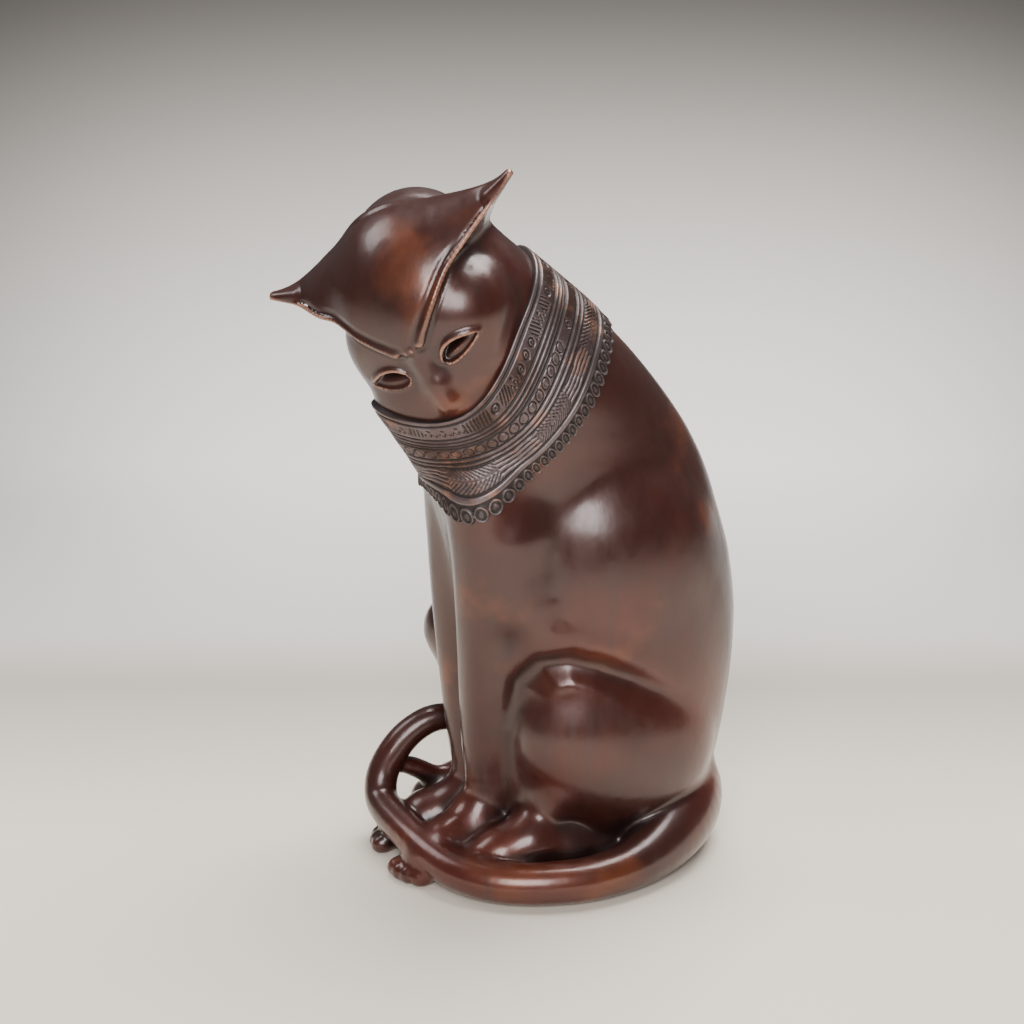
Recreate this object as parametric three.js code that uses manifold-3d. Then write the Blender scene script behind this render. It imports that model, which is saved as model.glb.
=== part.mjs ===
// A seated bronze cat with a broad collar, cast in one piece.
// Millimetres, +Z up. The cat faces -Y, its left side is +X, and the origin is on the ground under its body.
// Its forms are distance-like fields, negative inside, that run into each other and are meshed as one skin.
import * as THREE from "three";
import Module from "manifold-3d";

// Mesh settings
const CELL = 2.4;
const BODY_TRIANGLES = 7400;
const BOX_LOW = [-64, -130, -3];
const BOX_HIGH = [84, 104, 356];

// Horizontal sections of the trunk and neck: height, front, back, half width, squareness
const TRUNK = [
  [-30, -30, 60, 40, 2.3],
  [0, -34, 71, 44, 2.3],
  [30, -38, 80, 48, 2.3],
  [70, -42, 88, 50, 2.3],
  [115, -46, 91, 50, 2.3],
  [160, -54, 85, 47, 2.3],
  [195, -61, 74, 45, 2.3],
  [225, -74, 57, 42, 2.2],
  [243, -83, 45, 37, 2.1],
  [260, -80, 31, 33, 2],
  [280, -70, 13, 30, 2],
  [300, -60, -7, 25, 2],
  [316, -54, -25, 18, 2],
  [328, -48, -38, 8, 2],
];

const TRUNK_TOP = 322;

// Limbs, as chains of balls [x, y, z, radius]; a paired one is on both sides
const SHOULDER = [
  [24, -34, 212, 22],
  [27, -26, 178, 19],
  [24, -30, 140, 16],
];
const FORELEG = [
  [23, -40, 205, 18],
  [20, -43, 168, 14.5],
  [19, -43, 135, 13.5],
  [16, -42, 100, 12.5],
  [12.5, -41, 68, 11.3],
  [10, -39.5, 40, 10.2],
  [10.5, -44, 22, 11],
];
const FOREPAW = [
  [11, -46, 18, 13.5],
  [15, -62, 13, 13],
  [18.5, -77, 8, 11],
];
const HIND_FOOT = [
  [37, -52, 9, 9.5],
  [36.5, -38, 15, 12],
  [37, -22, 18, 13],
  [40, -4, 13, 12],
  [43, 8, 9, 9],
];
const SHIN = [
  [34, -24, 24, 9],
  [36, -12, 44, 9],
];
const THIGH = { centre: [34, 20, 63], radii: [25, 50, 40], tilt: -26 };
// The right knee stands a little further forward than the left
const RIGHT_KNEE = [
  [-38, 0, 84, 21],
  [-43, -34, 102, 17],
  [-42, -30, 84, 15.5],
];

// Toes: paw, first and last tip [x, y], number, radius
const TOES = [
  { first: [12, -90], last: [26, -83], count: 4, radius: 5, lift: 4 },
  { first: [-27, -84], last: [-13, -90.5], count: 4, radius: 5, lift: 4 },
];

// The tail: from the rump round the left side, over the forepaws, up, and back in a curl to touch itself
const TAIL = [
  [0, 50, 26, 28],
  [22, 54, 22, 22],
  [43, 45, 17, 17.5],
  [57, 31, 13.5, 13.8],
  [64.5, 14, 11.5, 11.7],
  [67, -5, 10.8, 10.8],
  [65, -23, 10.5, 10.5],
  [59.5, -40, 10.3, 10.2],
  [51, -54, 10.6, 9.9],
  [38, -65, 11.5, 9.6],
  [22, -72, 13.5, 9.2],
  [4, -77, 16, 8.9],
  [-14, -80.5, 18, 8.6],
  [-28, -81.5, 21, 8.3],
  [-35, -79, 30, 8.1],
  [-36.5, -73, 41, 7.8],
  [-37, -64, 50.5, 7.4],
  [-36.5, -53, 56.5, 7],
  [-36, -42, 56.5, 6.7],
  [-35, -34.5, 50, 6.4],
  [-34.5, -31.5, 40, 6.2],
  [-34.5, -34, 30.5, 5.9],
  [-34.5, -42, 24.5, 5.6],
  [-35, -51, 25.5, 5.3],
  [-35.5, -61, 31.5, 5],
  [-35.5, -66, 34, 4.6],
];

// Low relief on the flanks, drawn on the side view as lines of [y, z]: height and half width
const FLANK_LINES = [
  { height: 2.4, width: 9, points: [[-37, 98], [-33, 112], [-25, 123], [-16, 127], [0, 124], [18, 116], [34, 105]] },
  { height: -2.6, width: 10, points: [[-22, 100], [-15, 112], [-4, 113], [12, 107], [26, 99]] },
  { height: -1.8, width: 13, points: [[-22, 205], [-20, 175], [-19, 150], [-21, 132]] },
  { height: 2.4, width: 24, points: [[2, 196], [8, 172]] },
];

// The head, in its own frame: l to its left, f forward, u up
const HEAD = { centre: [0.2, -60, 280], turn: 61.8, nod: 24.3, roll: 33.5 };
const SKULL = { centre: [2, -8, 19], radii: [36, 42, 38] };
const FACE = { centre: [0, 4, 4], radii: [43, 31, 32] };
const CHEEK = [
  [22, 12, 2, 15],
  [10, 20, -18, 13],
];
const MUZZLE = [
  [0, 22, -8, 12],
  [0, 31, -24, 10],
];
const NOSE = [
  [0, 29, 0, 5.5],
  [0, 35, -13, 5],
  [0, 37.5, -21, 4.5],
];
const EAR = [
  [20, -3, 26, 18],
  [40, -3, 31, 11.5],
  [54, -9, 34.5, 6.8],
  [69, -15, 39, 1.6],
];
const EAR_HOLLOW = [
  [39, -6, 15, 7],
  [52, -11, 24, 5],
  [63, -14.5, 33, 2],
];
// The brow ridge runs from beside the nose out to the ear tip
const BROW = [
  [4.5, 35, 8.5],
  [12, 31.5, 13],
  [20, 26, 19],
  [31, 18, 26.5],
  [43, 8, 31.5],
  [54, -4, 33],
  [65, -12, 37],
];
const BROW_RADIUS = 1.9;
const EYE = { inner: [9.5, -3], outer: [31.5, 2.5], rise: 6.5, drop: 5, depth: 3.2, lid: 1.3 };

// The collar: its edges on the neck, its thickness, and the steps of its registers from neck to edge
const COLLAR = {
  inner: { front: [-73, 236], side: [36, -31, 279], back: [-15, 307] },
  outer: { front: [-66, 193], side: [50, -10, 216], back: [26, 270] },
  thickness: 2.2,
  sink: 5,
  steps: [
    [0, 0.4], [0.01, 1.3], [0.05, 1.3], [0.06, 0.3], [0.25, 0.2], [0.27, 0.9], [0.36, 0.8], [0.38, 0.1],
    [0.5, 0.1], [0.52, 0.9], [0.6, 0.8], [0.62, 0.2], [0.8, 0.2], [0.81, 1], [0.86, 0.8], [0.88, 0.2], [0.98, 0.4], [1, -0.6],
  ],
  columns: 72,
};

// Blending helpers
const clamp = (t, low = 0, high = 1) => Math.min(Math.max(t, low), high);
const mix = (a, b, t) => a + (b - a) * t;
const radians = (degrees) => (degrees * Math.PI) / 180;
const bell = (t) => (t < 1 ? (1 - t * t) ** 2 : 0);
const ease = (t) => clamp(t) ** 2 * (3 - 2 * clamp(t));

// Joins two fields with a fillet of about k
function join(a, b, k) {
  const h = Math.max(k - Math.abs(a - b), 0) / k;
  return Math.min(a, b) - (h * h * k) / 4;
}

// Cuts field b out of field a
const carve = (a, b, k) => -join(-a, b, k);

// Distance to a ball that moves from a to b and changes its radius
function taper(x, y, z, a, b) {
  const dx = b[0] - a[0];
  const dy = b[1] - a[1];
  const dz = b[2] - a[2];
  const t = clamp(((x - a[0]) * dx + (y - a[1]) * dy + (z - a[2]) * dz) / (dx * dx + dy * dy + dz * dz));
  return Math.hypot(x - a[0] - dx * t, y - a[1] - dy * t, z - a[2] - dz * t) - mix(a[3], b[3], t);
}

function chain(x, y, z, balls, k = 2) {
  let d = taper(x, y, z, balls[0], balls[1]);
  for (let i = 2; i < balls.length; i += 1) d = join(d, taper(x, y, z, balls[i - 1], balls[i]), k);
  return d;
}

// An ellipsoid whose long axis tilts in the YZ plane
function ellipsoid(x, y, z, { centre, radii, tilt = 0 }) {
  const c = Math.cos(radians(tilt));
  const s = Math.sin(radians(tilt));
  const px = x - centre[0];
  const py = (y - centre[1]) * c + (z - centre[2]) * s;
  const pz = (z - centre[2]) * c - (y - centre[1]) * s;
  const near = Math.hypot(px / radii[0], py / radii[1], pz / radii[2]);
  const slope = Math.hypot(px / radii[0] ** 2, py / radii[1] ** 2, pz / radii[2] ** 2);
  return (near * (near - 1)) / Math.max(slope, 1e-9);
}

// The trunk's section at height z, between the rows of the table by a smooth curve
function sectionAt(z) {
  let i = 0;
  while (i < TRUNK.length - 2 && z > TRUNK[i + 1][0]) i += 1;
  const b = TRUNK[i];
  const c = TRUNK[i + 1];
  const a = TRUNK[Math.max(i - 1, 0)];
  const d = TRUNK[Math.min(i + 2, TRUNK.length - 1)];
  const span = c[0] - b[0];
  const t = clamp((z - b[0]) / span);
  return b.slice(1).map((value, n) => {
    const next = c[n + 1];
    const slopeB = ((next - a[n + 1]) / (c[0] - a[0])) * span;
    const slopeC = ((d[n + 1] - value) / (d[0] - b[0])) * span;
    const bend = (1 - t) * slopeB - t * slopeC + (1 - 2 * t) * (value - next);
    return mix(value, next, t) + t * (1 - t) * bend;
  });
}

let sectionHeight = NaN;
let section = [];
function trunk(x, y, z) {
  if (z !== sectionHeight) {
    sectionHeight = z;
    section = sectionAt(z);
  }
  const [front, back, half, power] = section;
  const depth = (back - front) / 2;
  const across = Math.abs(x / half) ** power + Math.abs((y - (front + back) / 2) / depth) ** power;
  return Math.max((across ** (1 / power) - 1) * Math.min(half, depth) * 0.85, z - TRUNK_TOP);
}

// Distance to a line of points in a plane
function lineDistance(y, z, points) {
  let best = Infinity;
  for (let i = 1; i < points.length; i += 1) {
    const [ay, az] = points[i - 1];
    const dy = points[i][0] - ay;
    const dz = points[i][1] - az;
    const t = clamp(((y - ay) * dy + (z - az) * dz) / (dy * dy + dz * dz));
    best = Math.min(best, Math.hypot(y - ay - dy * t, z - az - dz * t));
  }
  return best;
}

function flankRelief(ax, y, z) {
  const onFlank = ease((ax - 12) / 16);
  let height = 0;
  if (onFlank > 0) for (const line of FLANK_LINES) height += line.height * bell(lineDistance(y, z, line.points) / line.width);
  return height * onFlank;
}

function toes(x, y, z) {
  let d = Infinity;
  for (const { first, last, count, radius, lift } of TOES) {
    for (let i = 0; i < count; i += 1) {
      const t = i / (count - 1);
      const spread = bell(Math.abs(2 * t - 1) * 0.9) * 2;
      const at = [mix(first[0], last[0], t), mix(first[1], last[1], t) - spread, lift];
      const toe = Math.hypot(x - at[0], (y - at[1] - radius) * 0.8, z - lift) - radius;
      d = Math.min(d, toe);
    }
  }
  return d;
}

// What the collar lies on: trunk, neck and shoulders
function torso(x, y, z) {
  const ax = Math.abs(x);
  let d = trunk(x, y, z) - flankRelief(ax, y, z);
  d = join(d, chain(ax, y, z, SHOULDER, 6), 14);
  return join(d, chain(ax, y, z, FORELEG, 4), 7);
}

function lowerBody(x, y, z) {
  const ax = Math.abs(x);
  let d = torso(x, y, z);
  d = join(d, ellipsoid(ax, y, z, THIGH), 6);
  d = join(d, chain(x, y, z, RIGHT_KNEE, 6), 7);
  d = join(d, chain(ax, y, z, SHIN, 4), 8);
  d = join(d, chain(ax, y, z, HIND_FOOT, 5), 5);
  d = join(d, chain(ax, y, z, FOREPAW, 4), 7);
  d = join(d, toes(x, y, z), 2);
  return join(d, chain(x, y, z, TAIL, 1.5), 2.5);
}

// Head frame: rows are its left, forward and up directions
function headFrame({ turn, nod, roll }) {
  const forward = new THREE.Vector3(
    Math.sin(radians(turn)) * Math.cos(radians(nod)),
    -Math.cos(radians(turn)) * Math.cos(radians(nod)),
    -Math.sin(radians(nod)),
  );
  const level = new THREE.Vector3(Math.cos(radians(turn)), Math.sin(radians(turn)), 0);
  const left = level.applyAxisAngle(forward, radians(roll));
  const up = new THREE.Vector3().crossVectors(forward, left);
  return [left.toArray(), forward.toArray(), up.toArray()];
}
const HEAD_AXES = headFrame(HEAD);

function toHead(x, y, z) {
  const p = [x - HEAD.centre[0], y - HEAD.centre[1], z - HEAD.centre[2]];
  return HEAD_AXES.map((axis) => axis[0] * p[0] + axis[1] * p[1] + axis[2] * p[2]);
}

// Height of the brow line at a distance al from the middle of the face
function browHeight(al) {
  let i = 1;
  while (i < BROW.length - 1 && al > BROW[i][0]) i += 1;
  const t = (al - BROW[i - 1][0]) / (BROW[i][0] - BROW[i - 1][0]);
  return mix(BROW[i - 1][2], BROW[i][2], Math.max(t, -0.5));
}

function headShell(al, f, u) {
  let d = ellipsoid(al, f, u, SKULL);
  d = join(d, chain(al, f, u, EAR, 6), 12);
  const face = join(ellipsoid(al, f, u, FACE), chain(al, f, u, CHEEK), 12);
  d = join(d, face, 10);
  d = join(d, chain(al, f, u, MUZZLE), 9);
  d += 1.8 * ease((browHeight(al) - u) / 2.5 + 0.5) * ease((f + 12) / 8);
  d = join(d, chain(al, f, u, NOSE), 5);
  return carve(d, chain(al, f, u, EAR_HOLLOW), 5);
}

// A point moved along the head's field until it lies on the surface
function ontoHead([l, f, u]) {
  const p = [l, f, u];
  const step = 0.2;
  for (let n = 0; n < 6; n += 1) {
    const d = headShell(...p);
    const slope = [0, 1, 2].map((axis) => {
      const q = [...p];
      q[axis] += step;
      return (headShell(...q) - d) / step;
    });
    const length2 = slope[0] ** 2 + slope[1] ** 2 + slope[2] ** 2;
    for (let axis = 0; axis < 3; axis += 1) p[axis] -= (d * slope[axis]) / length2;
  }
  return p;
}
const BROW_BALLS = BROW.map((point, n) => [...ontoHead(point), BROW_RADIUS * (n === 0 ? 1.1 : 1 - 0.06 * n)]);

// The almond of the eye on the front of the face: below 0 inside, with the lids' line at 0
function almond(al, u) {
  const [l0, u0] = EYE.inner;
  const [l1, u1] = EYE.outer;
  const t = (al - l0) / (l1 - l0);
  const off = u - mix(u0, u1, t);
  const arch = 4 * t * (1 - t);
  const reach = off > 0 ? EYE.rise * arch : EYE.drop * arch;
  return t > 0 && t < 1 ? Math.abs(off) - reach : 6;
}

function head(x, y, z) {
  const [l, f, u] = toHead(x, y, z);
  const al = Math.abs(l);
  let d = headShell(al, f, u);
  if (f > 10) {
    const eye = almond(al, u);
    d += EYE.depth * ease(-eye / 4) - EYE.lid * bell(Math.abs(eye) / 2.2);
  }
  return join(d, chain(al, f, u, BROW_BALLS, 1), 1.2);
}

// The whole skin, with a flat underside on the ground
function cat(x, y, z) {
  let d = lowerBody(x, y, z);
  d = join(d, head(x, y, z), 6);
  return Math.max(d, -z);
}

// Meshes the zero level of a field: each cube of the grid is six tetrahedra, so the skin is always closed
const CUBE = [[0, 0, 0], [1, 0, 0], [0, 1, 0], [1, 1, 0], [0, 0, 1], [1, 0, 1], [0, 1, 1], [1, 1, 1]];
const TETRAHEDRA = [[0, 1, 3, 7], [0, 3, 2, 7], [0, 2, 6, 7], [0, 6, 4, 7], [0, 4, 5, 7], [0, 5, 1, 7]];

function skinOf(field, low, high, cell) {
  const n = low.map((value, axis) => Math.ceil((high[axis] - value) / cell) + 1);
  const at = (i, j, k) => (k * n[1] + j) * n[0] + i;
  const values = new Float64Array(n[0] * n[1] * n[2]);
  for (let k = 0; k < n[2]; k += 1)
    for (let j = 0; j < n[1]; j += 1)
      for (let i = 0; i < n[0]; i += 1) {
        const d = field(low[0] + i * cell, low[1] + j * cell, low[2] + k * cell);
        values[at(i, j, k)] = Math.abs(d) < cell * 0.02 ? cell * 0.02 : d;
        const clear = Math.floor(Math.abs(d) / (1.6 * cell)) - 2;
        for (let m = 0; m < clear && i < n[0] - 1; m += 1) {
          i += 1;
          values[at(i, j, k)] = d;
        }
      }
  const points = [];
  const faces = [];
  const seen = new Map();
  const place = (id) => [low[0] + (id % n[0]) * cell, low[1] + (Math.floor(id / n[0]) % n[1]) * cell, low[2] + Math.floor(id / (n[0] * n[1])) * cell];
  const cross = (a, b) => {
    const key = a < b ? a * values.length + b : b * values.length + a;
    if (!seen.has(key)) {
      const t = values[a] / (values[a] - values[b]);
      const pa = place(a);
      const pb = place(b);
      seen.set(key, points.length);
      points.push(pa.map((value, axis) => mix(value, pb[axis], t)));
    }
    return seen.get(key);
  };
  for (let k = 0; k < n[2] - 1; k += 1)
    for (let j = 0; j < n[1] - 1; j += 1)
      for (let i = 0; i < n[0] - 1; i += 1) {
        const ids = CUBE.map(([di, dj, dk]) => at(i + di, j + dj, k + dk));
        const inside = ids.filter((id) => values[id] < 0).length;
        if (inside === 0 || inside === 8) continue;
        for (const tetrahedron of TETRAHEDRA) addTetrahedron(tetrahedron.map((corner) => ids[corner]), values, cross, faces);
      }
  return { points, faces };
}

// The faces inside one right-handed tetrahedron, turned outwards
function addTetrahedron(ids, values, cross, faces) {
  const inner = ids.filter((id) => values[id] < 0);
  const outer = ids.filter((id) => values[id] >= 0);
  if (inner.length === 0 || inner.length === 4) return;
  const order = [...inner, ...outer];
  let swaps = 0;
  for (let a = 0; a < 4; a += 1) for (let b = a + 1; b < 4; b += 1) if (ids.indexOf(order[a]) > ids.indexOf(order[b])) swaps += 1;
  const turned = swaps % 2 === 1;
  const add = (a, b, c) => faces.push(turned ? [a, c, b] : [a, b, c]);
  const [p, q, r, s] = order;
  if (inner.length === 1) add(cross(p, q), cross(p, r), cross(p, s));
  if (inner.length === 3) add(cross(p, s), cross(q, s), cross(r, s));
  if (inner.length === 2) {
    const [pr, ps, qs, qr] = [cross(p, r), cross(p, s), cross(q, s), cross(q, r)];
    add(pr, ps, qs);
    add(pr, qs, qr);
  }
}

// Takes faces away where the surface is flattest, by the squared distance to the planes around each point
function lighten({ points, faces }, target) {
  const quadric = points.map(() => new Float64Array(10));
  const around = points.map(() => new Set());
  const normalOf = (a, b, c) => {
    const [ux, uy, uz] = [b[0] - a[0], b[1] - a[1], b[2] - a[2]];
    const [vx, vy, vz] = [c[0] - a[0], c[1] - a[1], c[2] - a[2]];
    return [uy * vz - uz * vy, uz * vx - ux * vz, ux * vy - uy * vx];
  };
  faces.forEach((face, id) => {
    const [a, b, c] = face.map((v) => points[v]);
    const m = normalOf(a, b, c);
    const size = Math.hypot(...m);
    face.forEach((v) => around[v].add(id));
    if (size < 1e-9) return;
    const [nx, ny, nz] = m.map((value) => value / size);
    const off = -(nx * a[0] + ny * a[1] + nz * a[2]);
    const rows = [nx * nx, nx * ny, nx * nz, nx * off, ny * ny, ny * nz, ny * off, nz * nz, nz * off, off * off];
    face.forEach((v) => rows.forEach((value, n) => (quadric[v][n] += value * size)));
  });
  const errorAt = (q, p) => {
    const [x, y, z] = p;
    const xs = q[0] * x * x + 2 * q[1] * x * y + 2 * q[2] * x * z + 2 * q[3] * x;
    return xs + q[4] * y * y + 2 * q[5] * y * z + 2 * q[6] * y + q[7] * z * z + 2 * q[8] * z + q[9];
  };
  const bestPlace = (q, a, b) => {
    const middle = a.map((value, axis) => (value + b[axis]) / 2);
    const places = [a, b, middle];
    const det = q[0] * (q[4] * q[7] - q[5] * q[5]) - q[1] * (q[1] * q[7] - q[5] * q[2]) + q[2] * (q[1] * q[5] - q[4] * q[2]);
    const scale = (q[0] + q[4] + q[7]) ** 3;
    if (Math.abs(det) > 1e-5 * scale) {
      const solve = (c0, c1, c2) =>
        c0[0] * (c1[1] * c2[2] - c1[2] * c2[1]) - c1[0] * (c0[1] * c2[2] - c0[2] * c2[1]) + c2[0] * (c0[1] * c1[2] - c0[2] * c1[1]);
      const r = [-q[3], -q[6], -q[8]];
      const [c0, c1, c2] = [[q[0], q[1], q[2]], [q[1], q[4], q[5]], [q[2], q[5], q[7]]];
      const found = [solve(r, c1, c2) / det, solve(c0, r, c2) / det, solve(c0, c1, r) / det];
      const reach = Math.hypot(a[0] - b[0], a[1] - b[1], a[2] - b[2]);
      if (Math.hypot(...found.map((value, axis) => value - middle[axis])) < reach) places.push(found);
    }
    let best = places[0];
    for (const place of places) if (errorAt(q, place) < errorAt(q, best)) best = place;
    return best;
  };

  // A heap of edges, cheapest first; an entry is stale when either end has moved since
  const heap = [];
  const moved = new Uint32Array(points.length);
  const lift = (i) => {
    while (i > 0) {
      const up = (i - 1) >> 1;
      if (heap[up].cost <= heap[i].cost) break;
      [heap[up], heap[i]] = [heap[i], heap[up]];
      i = up;
    }
  };
  const take = () => {
    const top = heap[0];
    const last = heap.pop();
    if (heap.length > 0) {
      heap[0] = last;
      let i = 0;
      for (;;) {
        let least = i;
        for (const child of [2 * i + 1, 2 * i + 2]) if (child < heap.length && heap[child].cost < heap[least].cost) least = child;
        if (least === i) break;
        [heap[least], heap[i]] = [heap[i], heap[least]];
        i = least;
      }
    }
    return top;
  };
  const offer = (a, b) => {
    const q = quadric[a].map((value, n) => value + quadric[b][n]);
    const place = bestPlace(q, points[a], points[b]);
    const length2 = points[a].reduce((sum, value, axis) => sum + (value - points[b][axis]) ** 2, 0);
    heap.push({ a, b, place, cost: Math.max(errorAt(q, place), 0) + length2 * 1e-4, stamp: moved[a] + moved[b] });
    lift(heap.length - 1);
  };
  const neighbours = (v) => {
    const found = new Set();
    for (const id of around[v]) for (const w of faces[id]) if (w !== v) found.add(w);
    return found;
  };
  const turnsOver = (v, other, place) => {
    for (const id of around[v]) {
      if (faces[id].includes(other)) continue;
      const before = normalOf(...faces[id].map((w) => points[w]));
      const after = normalOf(...faces[id].map((w) => (w === v ? place : points[w])));
      const along = before[0] * after[0] + before[1] * after[1] + before[2] * after[2];
      if (along < 0.3 * Math.hypot(...before) * Math.hypot(...after)) return true;
    }
    return false;
  };
  for (const face of faces) for (let n = 0; n < 3; n += 1) if (face[n] < face[(n + 1) % 3]) offer(face[n], face[(n + 1) % 3]);
  let count = faces.length;
  while (count > target && heap.length > 0) {
    const { a, b, place, stamp } = take();
    if (around[a].size === 0 || around[b].size === 0 || stamp !== moved[a] + moved[b]) continue;
    const nearB = neighbours(b);
    const shared = [...neighbours(a)].filter((v) => nearB.has(v));
    if (!nearB.has(a) || shared.length !== 2) continue;
    if (turnsOver(a, b, place) || turnsOver(b, a, place)) continue;
    points[a] = place;
    quadric[b].forEach((value, n) => (quadric[a][n] += value));
    for (const id of [...around[b]]) {
      if (faces[id].includes(a)) {
        for (const v of faces[id]) around[v].delete(id);
        faces[id] = null;
        count -= 1;
      } else {
        faces[id] = faces[id].map((v) => (v === b ? a : v));
        around[a].add(id);
      }
    }
    around[b].clear();
    moved[a] += 1;
    for (const v of neighbours(a)) offer(a, v);
  }
  return { points, faces: faces.filter((face) => face !== null) };
}

// A place on the collar: turn 0 at the front, a quarter at the left side; down 0 at the neck and 1 at the edge
function collarPlace({ front, side, back }, turn) {
  const s = Math.sin(turn * 2 * Math.PI);
  const c = Math.cos(turn * 2 * Math.PI);
  const middle = [(front[0] + back[0]) / 2, (front[1] + back[1]) / 2];
  const y = middle[0] + ((front[0] - back[0]) / 2) * c + (side[1] - middle[0]) * s * s;
  const z = middle[1] + ((front[1] - back[1]) / 2) * c + (side[2] - middle[1]) * s * s;
  return [side[0] * s, y, z];
}

// The point on the torso where a ray from the middle of the neck leaves it, and the way out from there
function collarFoot(turn, down) {
  const a = collarPlace(COLLAR.inner, turn);
  const b = collarPlace(COLLAR.outer, turn);
  const toward = a.map((value, axis) => mix(value, b[axis], down));
  const axisY = mix((COLLAR.inner.front[0] + COLLAR.inner.back[0]) / 2, (COLLAR.outer.front[0] + COLLAR.outer.back[0]) / 2, down);
  const axisZ = mix((COLLAR.inner.front[1] + COLLAR.inner.back[1]) / 2, (COLLAR.outer.front[1] + COLLAR.outer.back[1]) / 2, down);
  const from = [0, axisY, axisZ];
  const ray = toward.map((value, axis) => value - from[axis]);
  let inside = 0;
  let outside = 2.5;
  for (let n = 0; n < 30; n += 1) {
    const t = (inside + outside) / 2;
    const d = torso(...from.map((value, axis) => value + ray[axis] * t));
    if (d < 0) inside = t;
    else outside = t;
  }
  return from.map((value, axis) => value + ray[axis] * inside);
}

function outwardAt(field, p) {
  const step = 0.5;
  const slope = [0, 1, 2].map((axis) => {
    const high = [...p];
    const low = [...p];
    high[axis] += step;
    low[axis] -= step;
    return field(...high) - field(...low);
  });
  const size = Math.hypot(...slope);
  return slope.map((value) => value / size);
}

// The collar is a closed ring: its top follows the steps, and its underside is sunk in the torso
function collarSkin() {
  const { steps, columns, thickness, sink } = COLLAR;
  const rows = [...steps.map(([down, rise]) => [down, thickness + rise]), [1, -sink], [0.5, -sink], [0, -sink]];
  const points = [];
  for (let i = 0; i < columns; i += 1)
    for (const [down, rise] of rows) {
      const foot = collarFoot(i / columns, down);
      const out = outwardAt(torso, foot);
      points.push(foot.map((value, axis) => value + out[axis] * rise));
    }
  const faces = [];
  for (let i = 0; i < columns; i += 1)
    for (let j = 0; j < rows.length; j += 1) {
      const right = (i + 1) % columns;
      const below = (j + 1) % rows.length;
      const [a, b, c, d] = [i * rows.length + j, right * rows.length + j, right * rows.length + below, i * rows.length + below];
      faces.push([a, c, b], [a, d, c]);
    }
  return { points, faces };
}

const wasm = await Module();
wasm.setup();

function solid({ points, faces }) {
  const used = new Map();
  const vertProperties = [];
  for (const v of faces.flat())
    if (!used.has(v)) {
      used.set(v, used.size);
      vertProperties.push(...points[v]);
    }
  const triVerts = new Uint32Array(faces.flat().map((v) => used.get(v)));
  return new wasm.Manifold(new wasm.Mesh({ numProp: 3, vertProperties: new Float32Array(vertProperties), triVerts }));
}

function geometryOf(made) {
  const mesh = made.getMesh();
  const geometry = new THREE.BufferGeometry();
  geometry.setAttribute("position", new THREE.BufferAttribute(mesh.vertProperties, 3));
  geometry.setIndex(new THREE.BufferAttribute(mesh.triVerts, 1));
  geometry.computeVertexNormals();
  return geometry;
}

const bronze = new THREE.MeshStandardMaterial({ color: 0x4a2822, roughness: 0.36, metalness: 0.75 });
const body = solid(lighten(skinOf(cat, BOX_LOW, BOX_HIGH, CELL), BODY_TRIANGLES));
const model = new THREE.Group();
const catMesh = new THREE.Mesh(geometryOf(body.add(solid(collarSkin()))), bronze);
catMesh.name = "cat";
model.add(catMesh);

export default model;
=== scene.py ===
"""A seated bronze cat with a broad engraved collar, made from one distance field."""

import math

import bpy
import numpy as np
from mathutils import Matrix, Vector


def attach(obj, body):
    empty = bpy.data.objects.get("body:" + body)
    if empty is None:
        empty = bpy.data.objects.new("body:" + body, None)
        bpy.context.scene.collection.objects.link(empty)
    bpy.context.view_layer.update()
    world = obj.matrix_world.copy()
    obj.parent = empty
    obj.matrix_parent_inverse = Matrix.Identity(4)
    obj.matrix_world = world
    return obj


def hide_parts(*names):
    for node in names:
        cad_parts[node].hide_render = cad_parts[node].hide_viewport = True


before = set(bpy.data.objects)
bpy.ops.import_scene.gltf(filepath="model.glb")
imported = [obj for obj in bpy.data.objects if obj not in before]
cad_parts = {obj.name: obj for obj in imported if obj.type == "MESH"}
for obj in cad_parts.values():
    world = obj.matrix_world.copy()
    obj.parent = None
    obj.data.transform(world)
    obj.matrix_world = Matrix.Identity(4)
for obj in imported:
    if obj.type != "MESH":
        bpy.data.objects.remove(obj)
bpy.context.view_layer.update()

MM = 0.001

# Sizes of the cat, in millimetres, as in the part's source
TRUNK = np.array([
    [-30, -28, 60, 38, 2.1, 0],
    [0, -33, 71, 43.5, 2.15, 0],
    [30, -37, 80, 47.5, 2.2, 0],
    [70, -40, 88, 50, 2.2, 0.02],
    [115, -45, 91, 52, 2.2, 0.06],
    [150, -52, 87, 51, 2.2, 0.12],
    [175, -57, 81, 44.5, 2.15, 0.14],
    [195, -62, 75, 38.5, 2.1, 0.12],
    [212, -71, 67, 36.5, 2.1, 0.06],
    [225, -79, 59, 36.5, 2.1, 0.02],
    [243, -89, 46, 37, 2.1, 0],
    [260, -86, 32, 34.5, 2, 0],
    [280, -72, 13, 29.5, 2, 0],
    [300, -60, -9, 24.5, 2, 0],
    [316, -54, -27, 17.5, 2, 0],
    [328, -48, -39, 8, 2, 0],
], float)
TRUNK_TOP = 322

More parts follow.
